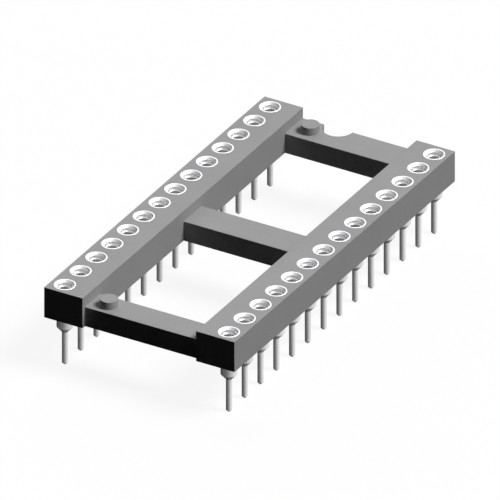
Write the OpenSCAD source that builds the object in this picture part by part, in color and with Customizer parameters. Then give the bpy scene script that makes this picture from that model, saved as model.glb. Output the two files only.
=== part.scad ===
// Open-frame dual-in-line socket with turned contacts, in millimetres.
// The origin is the centre of the contact grid at the tips of the solder tails, with +Z up.
// +Y runs along the rows towards the notched end, and +X from the left row to the right row.

/* [Contact grid] */
// Number of contacts in each of the two rows
contacts_per_row = 14; // [4:1:14]
// Distance between neighbours in a row
pitch = 2.54; // [2.2:0.02:3.2]
// Distance between the two rows
row_spacing = 15.24; // [12:0.02:23]

/* [Side bars] */
// Height of the side bars, which is the height of the housing
bar_h = 2.8; // [2.4:0.1:4]
// From a row's centre line to the outer face of its bar
row_to_outside = 1.23; // [1.1:0.01:2]
// From a row's centre line to the inner face of its bar
row_to_inside = 2.35; // [1.2:0.01:3]
// From the last contact's centre to the end of the bars
last_to_end = 1.24; // [1.1:0.01:3]

/* [Crossbars] */
// Height of the crossbars, which are level with the underside of the side bars
crossbar_h = 1.8; // [1:0.1:2.3]
// Width of the crossbar in the middle
middle_crossbar_w = 2.9; // [1.5:0.1:4]
// Width of the crossbar at the notched end, level with the ends of the side bars
notched_crossbar_w = 2.9; // [2.4:0.1:4]
// Width of the crossbar at the plain end
plain_crossbar_w = 2.5; // [2:0.1:4]
// How far the plain end's crossbar is set back from the ends of the side bars
plain_setback = 0.4; // [0:0.1:0.8]

/* [Index notch and pegs] */
// Radius of the half-round index notch
notch_r = 1.3; // [0.6:0.05:1.5]
// How far the notch lies to the left of the socket's middle
notch_offset = 2; // [0:0.1:2.3]
// Radius of the pegs on the end crossbars
peg_r = 0.75; // [0.4:0.05:0.85]
// Height of the pegs above the crossbars
peg_h = 0.7; // [0.2:0.1:1]
// From the left bar's inner face to the pegs' centres
bar_to_peg = 1.57; // [0.9:0.01:1.9]
// From the ends of the side bars to the pegs' centres
end_to_peg = 1.55; // [1.2:0.05:2.1]

/* [Contact sleeve] */
// Radius of the head
head_r = 0.91; // [0.85:0.01:1]
// Height of the head, which seats in the step of the housing's hole
head_h = 0.7; // [0.6:0.05:1.2]
// Width of the flat rim round the mouth
rim_w = 0.13; // [0.05:0.01:0.2]
// Depth of the funnel
funnel_h = 0.2; // [0.1:0.01:0.35]
// Radius of the counterbore below the funnel, which takes the clip's collar
counterbore_r = 0.63; // [0.58:0.01:0.7]
// Depth of the counterbore's ledge below the rim
ledge_depth = 0.48; // [0.45:0.01:0.55]
// Radius of the body, in the housing and below it
body_r = 0.68; // [0.62:0.01:0.78]
// Radius of the bore that takes the clip's barrel
bore_r = 0.53; // [0.48:0.01:0.56]
// Solid length between the end of the bore's wall and the end of the shoulder
bore_floor = 0.7; // [0.4:0.05:0.9]
// Length of the shoulder that stands below the housing
shoulder_l = 1.06; // [0.8:0.01:2]
// Height of the cone between the shoulder and the solder tail
cone_h = 0.5; // [0.2:0.01:0.8]
// Radius of the solder tail
tail_r = 0.25; // [0.18:0.01:0.4]
// Length of the solder tail
tail_l = 3; // [2:0.05:6]
// Chamfer at the tip of the tail
tail_chamfer = 0.15; // [0.02:0.01:0.17]
// Gap all round between a sleeve and the housing
sleeve_gap = 0.01; // [0.005:0.005:0.03]

/* [Spring clip] */
// Thickness of the clip's sheet
clip_t = 0.08; // [0.05:0.005:0.1]
// Length of the closed barrel, from the top of the collar
barrel_l = 0.7; // [0.3:0.05:1]
// Length of the fingers
finger_l = 1.5; // [0.8:0.05:1.6]
// Length of the straight grip where the fingers are closest
grip_l = 0.25; // [0.1:0.05:0.4]
// Length of the tips that turn outwards below the grip
flare_l = 0.2; // [0.1:0.05:0.4]
// Number of fingers
finger_count = 4; // [3:1:6]
// Radius left open between the fingers along their grip
grip_r = 0.17; // [0.12:0.01:0.25]
// How far the tips turn outwards below the grip
tip_flare = 0.06; // [0.02:0.01:0.1]
// Width of the slots between the fingers
slot_w = 0.11; // [0.05:0.01:0.13]
// Gap all round between a clip and its sleeve
clip_gap = 0.01; // [0.005:0.005:0.03]

/* [Hidden] */
// Facets of a full circle where the model is only drawn
$fn = 48;
// How far a cut runs past the face that it opens
past = 0.5;
// Angle of a drilled bore's point, measured from its floor
drill_point_angle = 31;
// Angle between two points of the collar's bend
bend_step = 15;

contact_count = 2 * contacts_per_row;
row_l = (contacts_per_row - 1) * pitch;
housing_l = row_l + 2 * last_to_end;
bar_inner_x = row_spacing / 2 - row_to_inside;
bar_w = row_to_inside + row_to_outside;

underside_z = tail_l + cone_h + shoulder_l;
top_z = underside_z + bar_h;
shoulder_end_z = tail_l + cone_h;
bore_end_z = shoulder_end_z + bore_floor;
head_seat_z = top_z - head_h;
ledge_z = top_z - ledge_depth;
mouth_r = head_r - rim_w;

clip_top_z = ledge_z + clip_t;
collar_r = counterbore_r - clip_gap;
barrel_r = bore_r - clip_gap;
barrel_inner_r = barrel_r - clip_t;
barrel_end_z = clip_top_z - barrel_l;
finger_end_z = barrel_end_z - finger_l;
grip_end_z = finger_end_z + flare_l;
grip_z = grip_end_z + grip_l;

// The sleeves and the clips have the same numbers: down the left row from the notched end, then up the right row.
function in_left_row(i) = i < contacts_per_row;
function contact_x(i) = (in_left_row(i) ? -1 : 1) * row_spacing / 2;
function contact_y(i) = in_left_row(i)
    ? row_l / 2 - i * pitch
    : (i - contacts_per_row) * pitch - row_l / 2;
function contact_name(piece, i) = str(piece, i < 9 ? "_0" : "_", i + 1);

sleeve_names = [for (i = [0 : contact_count - 1]) contact_name("sleeve", i)];
clip_names = [for (i = [0 : contact_count - 1]) contact_name("clip", i)];

module at_contact(i) {
    translate([contact_x(i), contact_y(i), 0]) children();
}

module side_bar_outlines() {
    for (flip = [0, 1]) {
        mirror([flip, 0, 0])
            translate([bar_inner_x, -housing_l / 2])
                square([bar_w, housing_l]);
    }
}

// A crossbar's outline, from the lower of its two edges in Y.
module crossbar_outline(from_y, width) {
    translate([-bar_inner_x, from_y]) square([2 * bar_inner_x, width]);
}

module crossbar_outlines() {
    crossbar_outline(-middle_crossbar_w / 2, middle_crossbar_w);
    crossbar_outline(plain_setback - housing_l / 2, plain_crossbar_w);
    difference() {
        crossbar_outline(housing_l / 2 - notched_crossbar_w, notched_crossbar_w);
        translate([-notch_offset, housing_l / 2]) circle(r = notch_r);
    }
}

// One peg stands on each end crossbar, at the same distance from its end.
module pegs() {
    for (end = [-1, 1]) {
        translate([bar_to_peg - bar_inner_x, end * (housing_l / 2 - end_to_peg), 0])
            cylinder(r = peg_r, h = crossbar_h + peg_h);
    }
}

// The stepped hole that a sleeve is pressed into: the step carries the head.
module sleeve_hole() {
    rotate_extrude()
        polygon([
            [0, underside_z - past],
            [body_r + sleeve_gap, underside_z - past],
            [body_r + sleeve_gap, head_seat_z],
            [head_r + sleeve_gap, head_seat_z],
            [head_r + sleeve_gap, top_z + past],
            [0, top_z + past],
        ]);
}

module housing() {
    color([0.62, 0.62, 0.62])
        difference() {
            translate([0, 0, underside_z]) {
                linear_extrude(bar_h) side_bar_outlines();
                linear_extrude(crossbar_h) crossbar_outlines();
                pegs();
            }
            for (i = [0 : contact_count - 1]) {
                at_contact(i) sleeve_hole();
            }
        }
}

module sleeve() {
    color([0.86, 0.86, 0.87])
        rotate_extrude()
            polygon([
                [0, 0],
                [tail_r - tail_chamfer, 0],
                [tail_r, tail_chamfer],
                [tail_r, tail_l],
                [body_r, shoulder_end_z],
                [body_r, head_seat_z],
                [head_r, head_seat_z],
                [head_r, top_z],
                [mouth_r, top_z],
                [counterbore_r, top_z - funnel_h],
                [counterbore_r, ledge_z],
                [bore_r, ledge_z],
                [bore_r, bore_end_z],
                [0, bore_end_z - bore_r * tan(drill_point_angle)],
            ]);
}

// The clip's wall in section, from the collar's outer edge down the outside and back up the inside.
// The collar's inner edge is rounded with the sheet's own thickness as its radius.
module clip_section() {
    bend = [
        for (a = [0 : bend_step : 90])
            [barrel_inner_r + clip_t * (1 - cos(a)), clip_top_z - clip_t * (1 - sin(a))]
    ];
    polygon(concat(
        [
            [collar_r, clip_top_z],
            [collar_r, ledge_z],
            [barrel_r, ledge_z],
            [barrel_r, barrel_end_z],
            [grip_r + clip_t, grip_z],
            [grip_r + clip_t, grip_end_z],
            [grip_r + clip_t + tip_flare, finger_end_z],
            [grip_r + tip_flare, finger_end_z],
            [grip_r, grip_end_z],
            [grip_r, grip_z],
            [barrel_inner_r, barrel_end_z],
        ],
        bend
    ));
}

module clip() {
    color([0.77, 0.77, 0.78])
        difference() {
            rotate_extrude() clip_section();
            for (k = [0 : finger_count - 1]) {
                rotate(k * 360 / finger_count)
                    translate([0, -slot_w / 2, finger_end_z - past])
                        cube([body_r, slot_w, finger_l + past]);
            }
        }
}

housing();
for (i = [0 : contact_count - 1]) {
    at_contact(i) sleeve();
    at_contact(i) clip();
}
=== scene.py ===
"""Looks of an open-frame chip socket with turned contacts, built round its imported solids."""

import math

import bmesh
import bpy
from mathutils import Matrix, Vector


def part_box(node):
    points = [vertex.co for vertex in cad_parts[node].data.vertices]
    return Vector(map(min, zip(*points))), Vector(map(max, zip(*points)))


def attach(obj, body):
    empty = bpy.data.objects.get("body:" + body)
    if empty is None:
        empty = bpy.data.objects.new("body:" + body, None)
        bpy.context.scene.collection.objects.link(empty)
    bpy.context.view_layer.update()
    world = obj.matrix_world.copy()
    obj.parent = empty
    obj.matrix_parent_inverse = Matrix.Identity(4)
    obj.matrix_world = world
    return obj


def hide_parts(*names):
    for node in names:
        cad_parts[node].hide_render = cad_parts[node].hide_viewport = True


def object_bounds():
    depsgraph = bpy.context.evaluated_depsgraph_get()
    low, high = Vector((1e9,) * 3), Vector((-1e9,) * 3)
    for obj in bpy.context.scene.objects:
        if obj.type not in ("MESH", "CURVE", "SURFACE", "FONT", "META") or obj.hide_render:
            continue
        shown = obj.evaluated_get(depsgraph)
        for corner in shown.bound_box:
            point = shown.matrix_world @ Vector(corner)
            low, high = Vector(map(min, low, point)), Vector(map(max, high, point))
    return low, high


bl_info = {
    "name": "Open-frame chip socket",
    "version": (1, 0, 0),
    "blender": (4, 5, 0),
    "location": "3D View > Sidebar > Socket",
    "description": "Builds the housing, sleeves, clips and studio of a chip socket",
    "category": "Object",
}

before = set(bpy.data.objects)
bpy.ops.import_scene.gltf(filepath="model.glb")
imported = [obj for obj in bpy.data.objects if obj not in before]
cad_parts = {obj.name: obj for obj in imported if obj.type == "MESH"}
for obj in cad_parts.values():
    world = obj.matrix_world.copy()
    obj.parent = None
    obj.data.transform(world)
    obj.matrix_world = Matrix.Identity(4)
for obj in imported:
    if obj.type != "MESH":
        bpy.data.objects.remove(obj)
CAD_BOX = [list(corner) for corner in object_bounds()]

MM = 0.001
BODY = "root"

# Pixels along a side of the photograph.
PICTURE_SIDE = 500
# Metres from the camera to the point that it looks at, and to the end of what it shows.
CAMERA_DISTANCE = 0.3
CLIP_END = 10

# Cosine of the angle from a direction to the studio's bright side, where metal shows it darkest
# and where metal shows it brightest.
SHADED_FACING = -0.78
BRIGHT_FACING = 0.38
# Cosine of the angle from a direction to the side opposite the dark screen, at the screen's
# middle and at its edge.
SCREEN_MIDDLE = -0.8
SCREEN_EDGE = -0.5
# Height of a direction's unit vector below which metal shows the ground, and above which it
# shows only the studio.
DARK_HEIGHT = -0.85
LIGHT_HEIGHT = -0.6

# Angle between two faces above which the mould's edge between them is rounded, above which an
# edge is shaded as a sharp one, and below which an edge that a cut has left is taken out.
EDGE_ANGLE = math.radians(40)
SHARP_ANGLE = math.radians(34)
FLAT_ANGLE = math.radians(0.5)
# Half the angle between two lines of a section above which their corner isn't rounded, and the
# largest share of a line that a rounded corner takes up.
STRAIGHT_HALF = math.radians(85)
CORNER_SHARE = 0.4
# Flats across a rounded edge, round the half-round notch and round a peg.
EDGE_STEPS = 3
NOTCH_STEPS = 48
PEG_SEGMENTS = 64

# In millimetres: how far a piece may miss its node's box, and how close points are to be merged.
BOX_TOLERANCE = 0.03
MERGE_DISTANCE = 1e-4
# In millimetres: how far a crossbar runs into the bars, how far above the underside the pegs
# start, how far a cut runs past a face, the collar's chamfer and half a side of the floor.
INTO_BAR = 1
PEG_ROOT = 0.5
PAST = 1
COLLAR_CHAMFER = 0.015
FLOOR_REACH = 1000

# Strength of all bumps, their depths in metres, and how fine the marks of the tools are.
BUMP_STRENGTH = 0.3
GRAIN_DEPTH = 0.00001
MARK_DEPTH = 0.000002
TURNED_MARK = 0.00002
DRAWN_MARK = 0.00006

SLEEVES = sorted(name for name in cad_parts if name.startswith("sleeve_"))
CLIPS = sorted(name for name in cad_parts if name.startswith("clip_"))
HOUSING_LOW, HOUSING_HIGH = (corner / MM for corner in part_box("housing"))


def axis_of(node):
    """The upright axis of a round node, as its place in X and Y in millimetres."""
    low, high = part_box(node)
    return Vector(((low.x + high.x) / 2, (low.y + high.y) / 2, 0)) / MM


FIRST_AXIS = axis_of(SLEEVES[0])
PITCH = (axis_of(SLEEVES[1]) - FIRST_AXIS).length
ROW_X = abs(FIRST_AXIS.x)
RIM_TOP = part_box(SLEEVES[0])[1].z / MM
TIP_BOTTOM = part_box(SLEEVES[0])[0].z / MM


def length(name, description, value):
    """A size that is written in millimetres and shown in the scene's own unit."""
    return bpy.props.FloatProperty(
        name=name, description=description, default=value * MM, min=0, precision=5, unit="LENGTH"
    )


def colour(name, description, value):
    return bpy.props.FloatVectorProperty(
        name=name, description=description, default=value, size=3, min=0, max=1, subtype="COLOR"
    )


def share(name, description, value):
    return bpy.props.FloatProperty(
        name=name, description=description, default=value, min=0, max=1, subtype="FACTOR"
    )


def angle(name, description, degrees):
    return bpy.props.FloatProperty(
        name=name, description=description, default=math.radians(degrees), subtype="ANGLE"
    )


def number(name, description, value):
    return bpy.props.FloatProperty(name=name, description=description, default=value)


def count(name, description, value, least):
    return bpy.props.IntProperty(name=name, description=description, default=value, min=least)


class HousingLook(bpy.types.PropertyGroup):
    """Sizes and finish of the moulded housing."""

    row_to_inside: length("Row to inside", "From a row's line to the inner face of its bar", 2.35)
    crossbar_h: length("Crossbar height", "Height of the crossbars above the underside", 1.8)
    middle_w: length("Middle crossbar", "Width of the crossbar in the middle", 2.9)
    notched_w: length("Notched crossbar", "Width of the crossbar at the notched end", 2.9)
    plain_w: length("Plain crossbar", "Width of the crossbar at the plain end", 2.5)
    plain_setback: length("Plain setback", "From the bars' ends to the plain crossbar", 0.4)
    notch_r: length("Notch radius", "Radius of the half-round index notch", 1.3)
    notch_offset: length("Notch offset", "How far the notch lies left of the middle", 2.0)
    peg_r: length("Peg radius", "Radius of the two pegs", 0.75)
    peg_h: length("Peg height", "Height of the pegs above the crossbars", 0.7)
    bar_to_peg: length("Bar to peg", "From the left bar's inner face to the pegs' centres", 1.57)
    end_to_peg: length("End to peg", "From the bars' ends to the pegs' centres", 1.55)
    head_hole_r: length("Head hole", "Radius of the holes at the sleeves' heads", 0.92)
    body_hole_r: length("Body hole", "Radius of the holes round the sleeves' bodies", 0.69)
    head_h: length("Head height", "Depth of the step that carries a sleeve's head", 0.7)
    edge_r: length("Edge radius", "Radius that the mould leaves on the outer edges", 0.03)
    plastic: colour("Plastic", "Colour of the moulding", (0.352, 0.352, 0.352))
    roughness: share("Roughness", "Roughness of the moulded surface", 0.75)


class SleeveLook(bpy.types.PropertyGroup):
    """Sizes and finish of the turned sleeves."""

    head_h: length("Head height", "Height of the head in the housing's step", 0.7)
    rim_w: length("Rim width", "Width of the flat rim round the mouth", 0.13)
    funnel_h: length("Funnel depth", "Depth of the funnel", 0.2)
    counterbore_r: length("Counterbore", "Radius below the funnel", 0.63)
    ledge_depth: length("Ledge depth", "Depth of the ledge under the clip's collar", 0.48)
    body_r: length("Body radius", "Radius of the body", 0.68)
    bore_r: length("Bore radius", "Radius of the bore round the clip's barrel", 0.53)
    bore_floor: length("Bore floor", "From the shoulder's end to the end of the bore's wall", 0.7)
    tail_r: length("Tail radius", "Radius of the solder tail", 0.25)
    tail_l: length("Tail length", "Length of the solder tail", 3.0)
    tail_chamfer: length("Tip chamfer", "Chamfer at the tip of the tail", 0.15)
    cone_h: length("Cone height", "Height of the cone between the shoulder and the tail", 0.5)
    edge_r: length("Edge radius", "Radius on the turned corners", 0.02)
    drill_point: angle("Drill point", "Angle of the bore's pointed floor", 31)
    tin: colour("Tin", "Colour of the tin plate", (0.8, 0.8, 0.81))
    roughness: share("Roughness", "Roughness of the tin plate", 0.45)
    segments: count("Segments", "Flats round a turned surface", 48, 16)


class ClipLook(bpy.types.PropertyGroup):
    """Sizes and finish of the spring clips."""

    sheet_t: length("Sheet", "Thickness of the clip's sheet", 0.08)
    gap: length("Gap", "Gap all round between a clip and its sleeve", 0.01)
    barrel_l: length("Barrel length", "Length of the closed barrel", 0.7)
    finger_l: length("Finger length", "Length of the fingers", 1.5)
    grip_r: length("Grip radius", "Radius left open between the fingers along their grip", 0.17)
    grip_l: length("Grip length", "Length of the straight grip", 0.25)
    tip_flare: length("Tip flare", "How far the tips turn outwards", 0.06)
    flare_l: length("Flare length", "Length of the tips that turn outwards", 0.2)
    slot_w: length("Slot width", "Width of the slots between the fingers", 0.11)
    fingers: count("Fingers", "Number of fingers", 4, 2)
    steps: count("Steps", "Flats across one finger", 12, 3)
    # The clip's tin is darker than the sleeve's: painted shade for the deep bore that the clip sits
    # in.
    tin: colour("Tin", "Colour of the clip's plating", (0.55, 0.55, 0.56))
    roughness: share("Roughness", "Roughness of the clip's plating", 0.45)


class StudioLook(bpy.types.PropertyGroup):
    """Camera, light and floor. Azimuths are turned from the right side towards the notched end."""

    azimuth: angle("Azimuth", "Turn of the view", 30)
    elevation: angle("Elevation", "Tilt of the view", 30)
    pixels_per_mm: number("Scale", "Pixels of the picture for each millimetre", 12.427)
    centre_u: number("Centre across", "Pixel column of the top face's centre", 249.52)
    centre_v: number("Centre down", "Pixel row of the top face's centre", 219.22)
    key_elevation: angle("Key elevation", "Height of the key light above the right side", 55)
    key_azimuth: angle("Key azimuth", "Turn of the key light", 14)
    key_spread: angle("Key spread", "Angle over which the key light is spread", 24)
    key_level: share("Key level", "Share of full light on a level face from the key light", 0.78)
    back_elevation: angle("Back elevation", "Height of the light behind the object", 35)
    back_azimuth: angle("Back azimuth", "Turn of the light behind the object", 135)
    back_spread: angle("Back spread", "Angle over which the light behind the object is spread", 60)
    back_level: share("Back level", "Share of full light on a level face from behind", 0.18)
    fill_level: share("Fill level", "Share of full light that comes from all round", 0.002)
    bright_azimuth: angle("Bright azimuth", "Turn of the brightest side that metal shows", 42)
    bright_elevation: angle("Bright elevation", "Height of the brightest side that metal shows", 35)
    shaded_side: share("Shaded side", "Brightness of the darkest side that metal shows", 0.145)
    screen_azimuth: angle("Screen azimuth", "Turn of the dark screen that metal shows", 150)
    screen: share("Screen", "Brightness of the screen as a share of the studio's", 0.0)
    ground: share("Ground", "Brightness of the ground that downward faces of metal show", 0.25)
    floor: colour("Floor", "Colour of the floor", (1.0, 1.0, 1.0))
    shadow_lift: share("Shadow lift", "How far the floor's shadow is lightened", 0.9)
    floor_bounce: share("Floor bounce", "Share of light that the floor sends back", 0.005)


def object_from(name, bm, scale=MM):
    """A new object from a mesh that was built in millimetres."""
    bmesh.ops.recalc_face_normals(bm, faces=bm.faces)
    mesh = bpy.data.meshes.new(name)
    bm.to_mesh(mesh)
    bm.free()
    mesh.transform(Matrix.Scale(scale, 4))
    made = bpy.data.objects.new(name, mesh)
    bpy.context.scene.collection.objects.link(made)
    return made


def settle(made):
    """Applies an object's modifiers to its mesh."""
    bpy.context.view_layer.update()
    seen = made.evaluated_get(bpy.context.evaluated_depsgraph_get())
    mesh = bpy.data.meshes.new_from_object(seen)
    old = made.data
    made.modifiers.clear()
    made.data = mesh
    bpy.data.meshes.remove(old)
    mesh.name = made.name


def smooth(made):
    """Smooth shading across small angles, with flat faces kept flat."""
    made.data.shade_smooth()
    made.data.set_sharp_from_angle(angle=SHARP_ANGLE)
    weigh = made.modifiers.new("weigh", "WEIGHTED_NORMAL")
    weigh.keep_sharp = True
    weigh.mode = "FACE_AREA"
    settle(made)


def stand_for(made, node, material):
    """Puts a finished piece in a node's place, after a check that it fills the node's own box."""
    made.data.materials.clear()
    made.data.materials.append(material)
    bpy.context.view_layer.update()
    corners = [made.matrix_world @ Vector(corner) for corner in made.bound_box]
    low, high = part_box(node)
    for axis in range(3):
        span = [corner[axis] for corner in corners]
        off = max(abs(min(span) - low[axis]), abs(max(span) - high[axis]))
        if off > BOX_TOLERANCE * MM:
            raise ValueError(f"{made.name} doesn't fill the box of {node}")
    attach(made, BODY)
    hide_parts(node)


def rounded(points, radius):
    """A section's points with each corner turned into a short arc."""
    points = [Vector(point) for point in points]
    made = [points[0]]
    for before, corner, after in zip(points, points[1:], points[2:]):
        back, on = before - corner, after - corner
        half = back.angle(on) / 2
        if half > STRAIGHT_HALF:
            made.append(corner)
            continue
        reach = min(radius / math.tan(half), CORNER_SHARE * back.length, CORNER_SHARE * on.length)
        start, end = corner + back.normalized() * reach, corner + on.normalized() * reach
        inwards = (back.normalized() + on.normalized()).normalized()
        middle = corner + inwards * reach / math.cos(half)
        first, last = start - middle, end - middle
        bend = first.angle_signed(last)
        for step in range(EDGE_STEPS + 1):
            spin = Matrix.Rotation(-bend * step / EDGE_STEPS, 2)
            made.append(middle + spin @ first)
    made.append(points[-1])
    return made


def ring(bm, radius, height, angles, centre):
    """One ring of a turned surface, or its single point on the axis."""
    if radius == 0:
        return [bm.verts.new((centre.x, centre.y, height))]
    return [
        bm.verts.new((centre.x + radius * math.cos(a), centre.y + radius * math.sin(a), height))
        for a in angles
    ]


def join_rings(bm, first, second):
    """Faces between two rings, either of which may be a point."""
    for k in range(max(len(first), len(second))):
        corners = [
            first[k % len(first)],
            first[(k + 1) % len(first)],
            second[(k + 1) % len(second)],
            second[k % len(second)],
        ]
        bm.faces.new(list(dict.fromkeys(corners)))


def turn(bm, section, centre, segments):
    """A solid turned from a section that starts and ends on the axis."""
    angles = [2 * math.pi * k / segments for k in range(segments)]
    rings = [ring(bm, radius, height, angles, centre) for radius, height in section]
    for first, second in zip(rings, rings[1:]):
        join_rings(bm, first, second)


def prism(bm, outline, low, high, radius):
    """An upright solid between two heights, with a small radius on all its edges."""
    ends = [[bm.verts.new((x, y, z)) for x, y in outline] for z in (low, high)]
    join_rings(bm, *ends)
    for end in ends:
        bm.faces.new(end)
    bmesh.ops.recalc_face_normals(bm, faces=bm.faces)
    own = {vert for end in ends for vert in end}
    bmesh.ops.bevel(
        bm,
        geom=[
            edge
            for edge in bm.edges
            if edge.verts[0] in own and edge.calc_face_angle() > EDGE_ANGLE
        ],
        offset=radius,
        offset_type="OFFSET",
        segments=EDGE_STEPS,
        profile=0.5,
        affect="EDGES",
    )


def oblong(x, y, width, depth):
    """The outline of a rectangle from its lower corner."""
    return [(x, y), (x + width, y), (x + width, y + depth), (x, y + depth)]


def dissolve_flats(made):
    """Merges points that a cut has left almost on each other, and the faces of each flat side."""
    bm = bmesh.new()
    bm.from_mesh(made.data)
    bmesh.ops.remove_doubles(bm, verts=bm.verts, dist=MERGE_DISTANCE)
    bmesh.ops.dissolve_limit(
        bm,
        angle_limit=FLAT_ANGLE,
        verts=bm.verts,
        edges=bm.edges,
        use_dissolve_boundaries=False,
    )
    bm.to_mesh(made.data)
    bm.free()


def combine(made, other, how):
    """Adds another mesh to an object or cuts it away, and removes the other."""
    step = made.modifiers.new(how.lower(), "BOOLEAN")
    step.operation = how
    step.solver = "EXACT"
    step.object = other
    settle(made)
    bpy.data.objects.remove(other)
    dissolve_flats(made)


def notched_outline(look, half_l):
    """The outline of the crossbar that has the half-round notch in its outer side."""
    end_y, width = HOUSING_HIGH.y, look.notched_w / MM
    notch_x, notch_r = -look.notch_offset / MM, look.notch_r / MM
    corners = oblong(-half_l, end_y - width, 2 * half_l, width)
    arc = [
        (notch_x + notch_r * math.cos(a), end_y - notch_r * math.sin(a))
        for a in (math.pi * k / NOTCH_STEPS for k in range(NOTCH_STEPS + 1))
    ]
    return corners[:3] + arc + corners[3:]


def housing_body(look):
    """The moulding without its contact holes, in millimetres."""
    low, high = HOUSING_LOW, HOUSING_HIGH
    edge_r = look.edge_r / MM
    inner_x = ROW_X - look.row_to_inside / MM
    half_l = inner_x + INTO_BAR
    crossbar_top = low.z + look.crossbar_h / MM
    middle_w, plain_w = look.middle_w / MM, look.plain_w / MM

    bm = bmesh.new()
    for bar_x in (low.x, inner_x):
        outline = oblong(bar_x, low.y, high.x - inner_x, high.y - low.y)
        prism(bm, outline, low.z, high.z, edge_r)
    made = object_from("housing_moulding", bm, scale=1)

    bm = bmesh.new()
    for outline in (
        notched_outline(look, half_l),
        oblong(-half_l, -middle_w / 2, 2 * half_l, middle_w),
        oblong(-half_l, low.y + look.plain_setback / MM, 2 * half_l, plain_w),
    ):
        prism(bm, outline, low.z, crossbar_top, edge_r)
    combine(made, object_from("crossbars", bm, scale=1), "UNION")

    bm = bmesh.new()
    peg_x, peg_r = look.bar_to_peg / MM - inner_x, look.peg_r / MM
    root, top = low.z + PEG_ROOT, crossbar_top + look.peg_h / MM
    section = rounded([(0, root), (peg_r, root), (peg_r, top), (0, top)], edge_r)
    for peg_y in (low.y + look.end_to_peg / MM, high.y - look.end_to_peg / MM):
        turn(bm, section, Vector((peg_x, peg_y, 0)), PEG_SEGMENTS)
    combine(made, object_from("pegs", bm, scale=1), "UNION")
    return made


def cut_contact_holes(made, look, segments):
    """The stepped holes that the sleeves are pressed into."""
    bottom, top = HOUSING_LOW.z, HOUSING_HIGH.z
    seat = top - look.head_h / MM
    body_r, head_r = look.body_hole_r / MM, look.head_hole_r / MM
    section = [
        (0, bottom - PAST),
        (body_r, bottom - PAST),
        (body_r, seat),
        (head_r, seat),
        (head_r, top + PAST),
        (0, top + PAST),
    ]
    bm = bmesh.new()
    for node in SLEEVES:
        turn(bm, section, axis_of(node), segments)
    combine(made, object_from("contact_holes", bm, scale=1), "DIFFERENCE")


def fill(tree, node, inputs):
    """Sets a shader node's inputs to values, or links them to other nodes' outputs."""
    for name, value in inputs.items():
        socket = node.inputs[name]
        if isinstance(value, bpy.types.NodeSocket):
            tree.links.new(value, socket)
        else:
            socket.default_value = value


def add_node(tree, kind, inputs=None, **settings):
    """A shader node with its settings and its inputs."""
    node = tree.nodes.new(kind)
    for name, value in settings.items():
        setattr(node, name, value)
    fill(tree, node, inputs or {})
    return node


def maths(tree, operation, *values, **settings):
    """The result of a step of arithmetic on numbers or other nodes' outputs."""
    inputs = dict(enumerate(values))
    return add_node(tree, "ShaderNodeMath", inputs, operation=operation, **settings).outputs[0]


def new_group(name, inputs, outputs):
    """An empty node group whose inputs and outputs are named numbers."""
    tree = bpy.data.node_groups.new(name, "ShaderNodeTree")
    for label, value in inputs.items():
        socket = tree.interface.new_socket(label, in_out="INPUT", socket_type="NodeSocketFloat")
        socket.default_value = value
    for label in outputs:
        tree.interface.new_socket(label, in_out="OUTPUT", socket_type="NodeSocketFloat")
    given = tree.nodes.new("NodeGroupInput").outputs
    return tree, given, tree.nodes.new("NodeGroupOutput")


def surface_grain_group():
    """Fine grain and slow cloudiness over a surface: a tone, a roughness and a height."""
    name = "surface_grain"
    if name in bpy.data.node_groups:
        return bpy.data.node_groups[name]
    tree, given, made = new_group(
        name,
        {
            "Grain Size": 0.00005,
            "Cloud Size": 0.003,
            "Tone Spread": 0.05,
            "Roughness": 0.5,
            "Roughness Spread": 0.1,
        },
        ("Tone", "Roughness", "Height"),
    )
    place = add_node(tree, "ShaderNodeTexCoord").outputs["Object"]

    def noise(size_name, detail):
        scale = maths(tree, "DIVIDE", 1.0, given[size_name])
        return add_node(
            tree,
            "ShaderNodeTexNoise",
            {"Vector": place, "Scale": scale, "Detail": detail, "Roughness": 0.55},
        ).outputs["Fac"]

    grain = noise("Grain Size", 3.0)
    cloud = noise("Cloud Size", 2.0)
    # Two noises of about a half each, so that their sum less one varies round zero.
    off = maths(tree, "SUBTRACT", maths(tree, "ADD", grain, cloud), 1.0)
    rough = (off, given["Roughness Spread"], given["Roughness"])
    fill(
        tree,
        made,
        {
            "Tone": maths(tree, "MULTIPLY_ADD", off, given["Tone Spread"], 1.0),
            "Roughness": maths(tree, "MULTIPLY_ADD", *rough, use_clamp=True),
            "Height": grain,
        },
    )
    return tree


def turning_marks_group():
    """Rings that a lathe tool leaves round each contact's own axis, as a height from 0 to 1."""
    name = "turning_marks"
    if name in bpy.data.node_groups:
        return bpy.data.node_groups[name]
    tree, given, made = new_group(
        name,
        {"Row Distance": ROW_X * MM, "Pitch": PITCH * MM, "Mark Size": 0.00002},
        ("Height",),
    )
    coordinates = add_node(tree, "ShaderNodeTexCoord").outputs["Object"]
    place = add_node(tree, "ShaderNodeSeparateXYZ", {"Vector": coordinates}).outputs
    across = maths(tree, "SUBTRACT", maths(tree, "ABSOLUTE", place["X"]), given["Row Distance"])
    along = maths(tree, "WRAP", place["Y"], given["Pitch"], 0.0)
    centred = maths(tree, "SUBTRACT", along, maths(tree, "MULTIPLY", given["Pitch"], 0.5))
    flat = add_node(tree, "ShaderNodeCombineXYZ", {"X": across, "Y": centred, "Z": 0.0})
    radius = add_node(
        tree, "ShaderNodeVectorMath", {0: flat.outputs[0]}, operation="LENGTH"
    ).outputs["Value"]
    path = maths(tree, "ADD", radius, place["Z"])
    steps = maths(tree, "DIVIDE", path, given["Mark Size"])
    marks = add_node(
        tree,
        "ShaderNodeTexNoise",
        {"W": steps, "Scale": 1.0, "Detail": 2.0},
        noise_dimensions="1D",
    )
    tree.links.new(marks.outputs["Fac"], made.inputs["Height"])
    return tree


def new_material(name):
    """A material with its tree and its shader."""
    material = bpy.data.materials.new(name)
    material.use_nodes = True
    tree = material.node_tree
    return material, tree, tree.nodes["Principled BSDF"]


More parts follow.
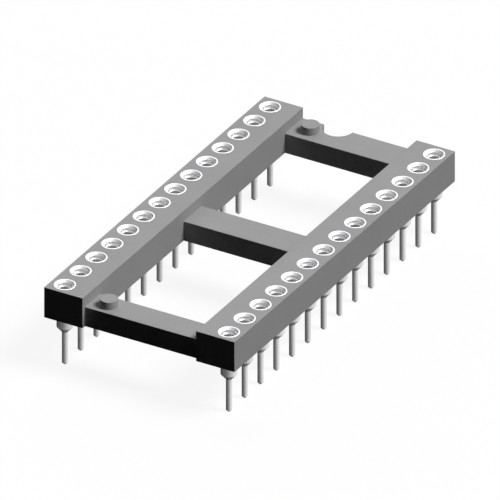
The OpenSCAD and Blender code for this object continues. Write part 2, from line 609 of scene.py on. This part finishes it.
def toned(tree, base, tone):
    """A colour made lighter and darker by a tone that varies round 1."""
    mix = add_node(
        tree, "ShaderNodeVectorMath", {0: tuple(base), 1: tone}, operation="MULTIPLY"
    )
    return mix.outputs["Vector"]


def bumped(tree, height, depth):
    """The normal of a surface with a height of a depth in metres."""
    inputs = {"Height": height, "Strength": BUMP_STRENGTH, "Distance": depth}
    return add_node(tree, "ShaderNodeBump", inputs).outputs["Normal"]


def plastic_material(look):
    """Matt grey moulding compound with a fine spark-eroded grain."""
    material, tree, shader = new_material("moulded_grey_plastic")
    grain = add_node(
        tree,
        "ShaderNodeGroup",
        {
            "Grain Size": 0.0001,
            "Cloud Size": 0.004,
            "Tone Spread": 0.16,
            "Roughness": look.roughness,
            "Roughness Spread": 0.08,
        },
        node_tree=surface_grain_group(),
    ).outputs
    fill(
        tree,
        shader,
        {
            "Base Color": toned(tree, look.plastic, grain["Tone"]),
            "Roughness": grain["Roughness"],
            "Specular IOR Level": 0.08,
            "Normal": bumped(tree, grain["Height"], GRAIN_DEPTH),
        },
    )
    return material


def tin_material(name, look, mark_size):
    """Bright tin plate over turned or drawn metal; the clip's colour is set darker as painted shade
    of its bore.
    """
    material, tree, shader = new_material(name)
    grain = add_node(
        tree,
        "ShaderNodeGroup",
        {
            "Grain Size": 0.00004,
            "Cloud Size": 0.0008,
            "Tone Spread": 0.08,
            "Roughness": look.roughness,
            "Roughness Spread": 0.12,
        },
        node_tree=surface_grain_group(),
    ).outputs
    marks = add_node(
        tree, "ShaderNodeGroup", {"Mark Size": mark_size}, node_tree=turning_marks_group()
    ).outputs
    fill(
        tree,
        shader,
        {
            "Base Color": toned(tree, look.tin, grain["Tone"]),
            "Roughness": grain["Roughness"],
            "Metallic": 1.0,
            "Normal": bumped(tree, marks["Height"], MARK_DEPTH),
        },
    )
    return material


class SOCKET_OT_housing(bpy.types.Operator):
    """Build the moulded housing with its crossbars, notch, pegs and contact holes"""

    bl_idname = "socket.housing"
    bl_label = "Housing"

    def execute(self, context):
        look = context.scene.socket_housing
        made = housing_body(look)
        cut_contact_holes(made, look, context.scene.socket_sleeve.segments)
        made.data.transform(Matrix.Scale(MM, 4))
        smooth(made)
        stand_for(made, "housing", plastic_material(look))
        return {"FINISHED"}


def sleeve_section(look):
    """A sleeve's section from the tip of its tail to the floor of its bore, in millimetres."""
    tail_r, body_r, bore_r = look.tail_r / MM, look.body_r / MM, look.bore_r / MM
    low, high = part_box(SLEEVES[0])
    head_r = (high.x - low.x) / 2 / MM
    shoulder_end = TIP_BOTTOM + (look.tail_l + look.cone_h) / MM
    bore_end = shoulder_end + look.bore_floor / MM
    seat = RIM_TOP - look.head_h / MM
    ledge = RIM_TOP - look.ledge_depth / MM
    return [
        (0, TIP_BOTTOM),
        (tail_r - look.tail_chamfer / MM, TIP_BOTTOM),
        (tail_r, TIP_BOTTOM + look.tail_chamfer / MM),
        (tail_r, TIP_BOTTOM + look.tail_l / MM),
        (body_r, shoulder_end),
        (body_r, seat),
        (head_r, seat),
        (head_r, RIM_TOP),
        (head_r - look.rim_w / MM, RIM_TOP),
        (look.counterbore_r / MM, RIM_TOP - look.funnel_h / MM),
        (look.counterbore_r / MM, ledge),
        (bore_r, ledge),
        (bore_r, bore_end),
        (0, bore_end - bore_r * math.tan(look.drill_point)),
    ]


class SOCKET_OT_sleeves(bpy.types.Operator):
    """Turn a sleeve for each contact, with its funnel, bore, shoulder and solder tail"""

    bl_idname = "socket.sleeves"
    bl_label = "Turned sleeves"

    def execute(self, context):
        look = context.scene.socket_sleeve
        material = tin_material("tin_on_turned_brass", look, TURNED_MARK)
        section = rounded(sleeve_section(look), look.edge_r / MM)
        for node in SLEEVES:
            bm = bmesh.new()
            turn(bm, section, axis_of(node), look.segments)
            made = object_from(node.replace("sleeve", "turned_sleeve"), bm)
            smooth(made)
            stand_for(made, node, material)
        return {"FINISHED"}


def clip_levels(look, sleeve):
    """A clip's section as pairs of outer and inner points, and how many are above the fingers."""
    sheet = look.sheet_t / MM
    ledge = RIM_TOP - sleeve.ledge_depth / MM
    top = ledge + sheet
    collar_r = sleeve.counterbore_r / MM - look.gap / MM
    outer_r = sleeve.bore_r / MM - look.gap / MM
    inner_r = outer_r - sheet
    barrel_end = top - look.barrel_l / MM
    tip = barrel_end - look.finger_l / MM
    grip_end = tip + look.flare_l / MM
    grip_start = grip_end + look.grip_l / MM
    grip_r = look.grip_r / MM
    flare = look.tip_flare / MM
    bend = [
        (inner_r + sheet * (1 - math.cos(a)), top - sheet * (1 - math.sin(a)))
        for a in (math.radians(90), math.radians(60), math.radians(30), 0)
    ]
    outside = [
        (collar_r - COLLAR_CHAMFER, top),
        (collar_r, top - COLLAR_CHAMFER),
        (collar_r, ledge),
        (outer_r, ledge),
    ]
    above = list(zip(outside, bend))
    fingers = [
        ((inside + sheet, z), (inside, z))
        for inside, z in (
            (inner_r, barrel_end),
            (grip_r, grip_start),
            (grip_r, grip_end),
            (grip_r + flare, tip),
        )
    ]
    return above + fingers, len(above)


def clip_mesh(look, sleeve, centre):
    """One clip: a collared barrel whose lower part is slotted into fingers."""
    levels, above = clip_levels(look, sleeve)
    half_slot = look.slot_w / MM / 2
    fingers, steps = look.fingers, look.steps
    bm = bmesh.new()

    def angles(radius):
        """The angles of all points round the clip: a finger's own, a slot, and so on round."""
        cut = math.asin(half_slot / radius)
        sector = 2 * math.pi / fingers
        return [
            k * sector + cut + (sector - 2 * cut) * j / steps
            for k in range(fingers)
            for j in range(steps + 1)
        ]

    outer = [ring(bm, r, z, angles(r), centre) for (r, z), _ in levels]
    inner = [ring(bm, r, z, angles(r), centre) for _, (r, z) in levels]
    around = len(outer[0])

    def is_slot(k):
        return (k + 1) % (steps + 1) == 0

    for level in range(len(levels) - 1):
        for k in range(around):
            if level >= above and is_slot(k):
                continue
            on = (k + 1) % around
            for wall in (outer, inner):
                here, below = wall[level], wall[level + 1]
                bm.faces.new((here[k], here[on], below[on], below[k]))
    for k in range(around):
        on = (k + 1) % around
        bm.faces.new((outer[0][k], outer[0][on], inner[0][on], inner[0][k]))
        end = above if is_slot(k) else -1
        bm.faces.new((outer[end][k], outer[end][on], inner[end][on], inner[end][k]))
        if is_slot(k):
            for side in (k, on):
                for level in range(above, len(levels) - 1):
                    rings = (outer[level], outer[level + 1], inner[level + 1], inner[level])
                    bm.faces.new([points[side] for points in rings])
    return bm


class SOCKET_OT_clips(bpy.types.Operator):
    """Draw a spring clip for each sleeve, with its collar, barrel and converging fingers"""

    bl_idname = "socket.clips"
    bl_label = "Spring clips"

    def execute(self, context):
        look = context.scene.socket_clip
        sleeve = context.scene.socket_sleeve
        # The clip's material carries the darker tin, which is painted shade for the bore it sits
        # in.
        material = tin_material("tin_with_painted_shade_on_spring_clip", look, DRAWN_MARK)
        for node in CLIPS:
            bm = clip_mesh(look, sleeve, axis_of(node))
            made = object_from(node.replace("clip", "spring_clip"), bm)
            smooth(made)
            stand_for(made, node, material)
        return {"FINISHED"}


def studio_level(tree, look):
    """The studio's brightness in a direction: a bright side, a dark screen and a darker ground."""
    direction = add_node(tree, "ShaderNodeTexCoord").outputs["Generated"]
    height = add_node(tree, "ShaderNodeSeparateXYZ", {"Vector": direction}).outputs["Z"]

    def facing(azimuth, elevation):
        inputs = {0: direction, 1: towards(azimuth, elevation)}
        node = add_node(tree, "ShaderNodeVectorMath", inputs, operation="DOT_PRODUCT")
        return node.outputs["Value"]

    def graded(value, low, high, darkest):
        return add_node(
            tree,
            "ShaderNodeMapRange",
            {"Value": value, "From Min": low, "From Max": high, "To Min": darkest, "To Max": 1.0},
        ).outputs["Result"]

    bright = facing(look.bright_azimuth, look.bright_elevation)
    opposite_screen = facing(look.screen_azimuth + math.pi, 0)
    level = graded(bright, SHADED_FACING, BRIGHT_FACING, look.shaded_side)
    for part in (
        graded(opposite_screen, SCREEN_MIDDLE, SCREEN_EDGE, look.screen),
        graded(height, DARK_HEIGHT, LIGHT_HEIGHT, look.ground),
    ):
        level = maths(tree, "MULTIPLY", level, part)
    return level


def floor_material(look):
    """A white floor with a pale shadow, which sends back little light. Metal shows the studio."""
    material, tree, shader = new_material("studio_floor")
    tree.nodes.remove(shader)
    path = add_node(tree, "ShaderNodeLightPath")
    white = (*look.floor, 1)
    low = look.floor_bounce

    def mixed(share_of, first, second):
        inputs = {0: share_of, 1: first.outputs[0], 2: second.outputs[0]}
        return add_node(tree, "ShaderNodeMixShader", inputs)

    lit = add_node(tree, "ShaderNodeBsdfDiffuse", {"Color": white})
    glow = add_node(tree, "ShaderNodeEmission", {"Color": white, "Strength": 1.0})
    shown = add_node(tree, "ShaderNodeBsdfDiffuse", {"Color": (low, low, low, 1)})
    for kind, shade in (
        ("Is Transmission Ray", lit),
        ("Is Glossy Ray", add_node(tree, "ShaderNodeBsdfTransparent")),
        ("Is Camera Ray", mixed(look.shadow_lift, lit, glow)),
    ):
        shown = mixed(path.outputs[kind], shown, shade)
    tree.links.new(shown.outputs[0], tree.nodes["Material Output"].inputs["Surface"])
    return material


def studio_world(look):
    """White where it is seen, graded from side to side in metal, and a weak fill elsewhere."""
    world = bpy.data.worlds.new("studio")
    world.use_nodes = True
    tree = world.node_tree
    path = add_node(tree, "ShaderNodeLightPath")
    strength = look.fill_level
    for kind, shown in (
        ("Is Transmission Ray", 1.0),
        ("Is Glossy Ray", studio_level(tree, look)),
        ("Is Camera Ray", 1.0),
    ):
        strength = add_node(
            tree, "ShaderNodeMix", {"Factor": path.outputs[kind], "A": strength, "B": shown}
        ).outputs["Result"]
    fill(tree, tree.nodes["Background"], {"Color": (1, 1, 1, 1), "Strength": strength})
    bpy.context.scene.world = world


def towards(azimuth, elevation):
    """The unit vector at an azimuth from +X towards +Y and an elevation above the floor."""
    flat = math.cos(elevation)
    return Vector((flat * math.cos(azimuth), flat * math.sin(azimuth), math.sin(elevation)))


def add_camera(look):
    """A parallel camera that puts the middle of the top face on its pixel of the picture."""
    data = bpy.data.cameras.new("camera")
    data.type = "ORTHO"
    data.ortho_scale = PICTURE_SIDE / look.pixels_per_mm * MM
    data.clip_end = CLIP_END
    made = bpy.data.objects.new("camera", data)
    bpy.context.scene.collection.objects.link(made)
    back = towards(look.azimuth - math.pi / 2, look.elevation)
    right = Vector((math.cos(look.azimuth), math.sin(look.azimuth), 0))
    up = back.cross(right)
    off_right = (look.centre_u - PICTURE_SIDE / 2) / look.pixels_per_mm
    off_up = (PICTURE_SIDE / 2 - look.centre_v) / look.pixels_per_mm
    aim = (Vector((0, 0, RIM_TOP)) - right * off_right - up * off_up) * MM
    turn_to = Matrix((right, up, back)).transposed().to_4x4()
    made.matrix_world = Matrix.Translation(aim + back * CAMERA_DISTANCE) @ turn_to
    bpy.context.scene.camera = made


def add_light(name, azimuth, elevation, spread, level):
    """A broad light at a level where a level face comes out as written."""
    data = bpy.data.lights.new(name, "SUN")
    data.energy = level * math.pi / math.sin(elevation)
    data.angle = spread
    made = bpy.data.objects.new(name, data)
    bpy.context.scene.collection.objects.link(made)
    made.matrix_world = towards(azimuth, elevation).to_track_quat("Z", "Y").to_matrix().to_4x4()


class SOCKET_OT_studio(bpy.types.Operator):
    """Set up the floor, the light and the camera"""

    bl_idname = "socket.studio"
    bl_label = "Studio"

    def execute(self, context):
        look = context.scene.socket_studio
        bm = bmesh.new()
        bmesh.ops.create_grid(bm, x_segments=1, y_segments=1, size=FLOOR_REACH)
        floor = object_from("floor", bm)
        floor.location.z = CAD_BOX[0][2]
        floor.data.materials.append(floor_material(look))
        studio_world(look)
        add_light("key", look.key_azimuth, look.key_elevation, look.key_spread, look.key_level)
        add_light("back", look.back_azimuth, look.back_elevation, look.back_spread, look.back_level)
        add_camera(look)
        context.scene.view_settings.view_transform = "Standard"
        return {"FINISHED"}


class SOCKET_PT_panel(bpy.types.Panel):
    """The socket's pieces and the studio, in the sidebar"""

    bl_idname = "SOCKET_PT_panel"
    bl_label = "Chip socket"
    bl_space_type = "VIEW_3D"
    bl_region_type = "UI"
    bl_category = "Socket"

    def draw(self, context):
        for operator, look in (
            (SOCKET_OT_housing, context.scene.socket_housing),
            (SOCKET_OT_sleeves, context.scene.socket_sleeve),
            (SOCKET_OT_clips, context.scene.socket_clip),
            (SOCKET_OT_studio, context.scene.socket_studio),
        ):
            box = self.layout.box()
            box.operator(operator.bl_idname)
            for name in look.__annotations__:
                box.prop(look, name)


CLASSES = (
    HousingLook,
    SleeveLook,
    ClipLook,
    StudioLook,
    SOCKET_OT_housing,
    SOCKET_OT_sleeves,
    SOCKET_OT_clips,
    SOCKET_OT_studio,
    SOCKET_PT_panel,
)


def register():
    for one in CLASSES:
        bpy.utils.register_class(one)
    bpy.types.Scene.socket_housing = bpy.props.PointerProperty(type=HousingLook)
    bpy.types.Scene.socket_sleeve = bpy.props.PointerProperty(type=SleeveLook)
    bpy.types.Scene.socket_clip = bpy.props.PointerProperty(type=ClipLook)
    bpy.types.Scene.socket_studio = bpy.props.PointerProperty(type=StudioLook)


def unregister():
    del bpy.types.Scene.socket_studio
    del bpy.types.Scene.socket_clip
    del bpy.types.Scene.socket_sleeve
    del bpy.types.Scene.socket_housing
    for one in reversed(CLASSES):
        bpy.utils.unregister_class(one)


def main():
    register()
    bpy.ops.socket.studio()
    bpy.ops.socket.housing()
    bpy.ops.socket.sleeves()
    bpy.ops.socket.clips()


if __name__ == "__main__":
    main()
